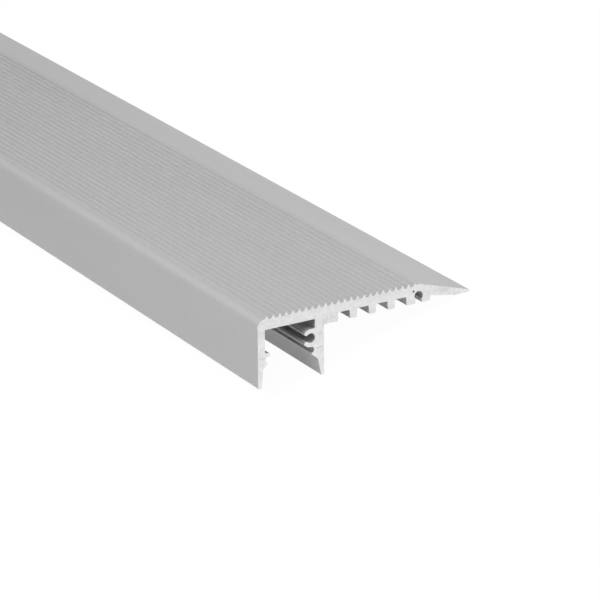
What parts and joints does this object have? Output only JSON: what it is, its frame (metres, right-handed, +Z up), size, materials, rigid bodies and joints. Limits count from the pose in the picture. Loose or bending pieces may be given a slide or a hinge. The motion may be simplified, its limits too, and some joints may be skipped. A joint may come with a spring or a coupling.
{
  "type": "led stair nosing profile",
  "caption": "Extruded aluminium stair nosing with a ribbed anti-slip tread, a downward LED channel with cover grooves behind its front wall, screw ports and a feathered back edge.",
  "frame": {"origin": "centre of the bounding box's bottom face, on the floor that the length of stock rests on", "axes": "+Y along the length of the extrusion, +Z up, -X towards the front wall, as the stock rests on its web foot and feather edge"},
  "size_m": [0.0676, 1, 0.0242],
  "materials": {
    "anodised_aluminium": "matt silver anodised, with bare sawn ends"
  },
  "bodies": {
    "root": {"nosing_profile": "anodised_aluminium"}
  },
  "joints": []
}
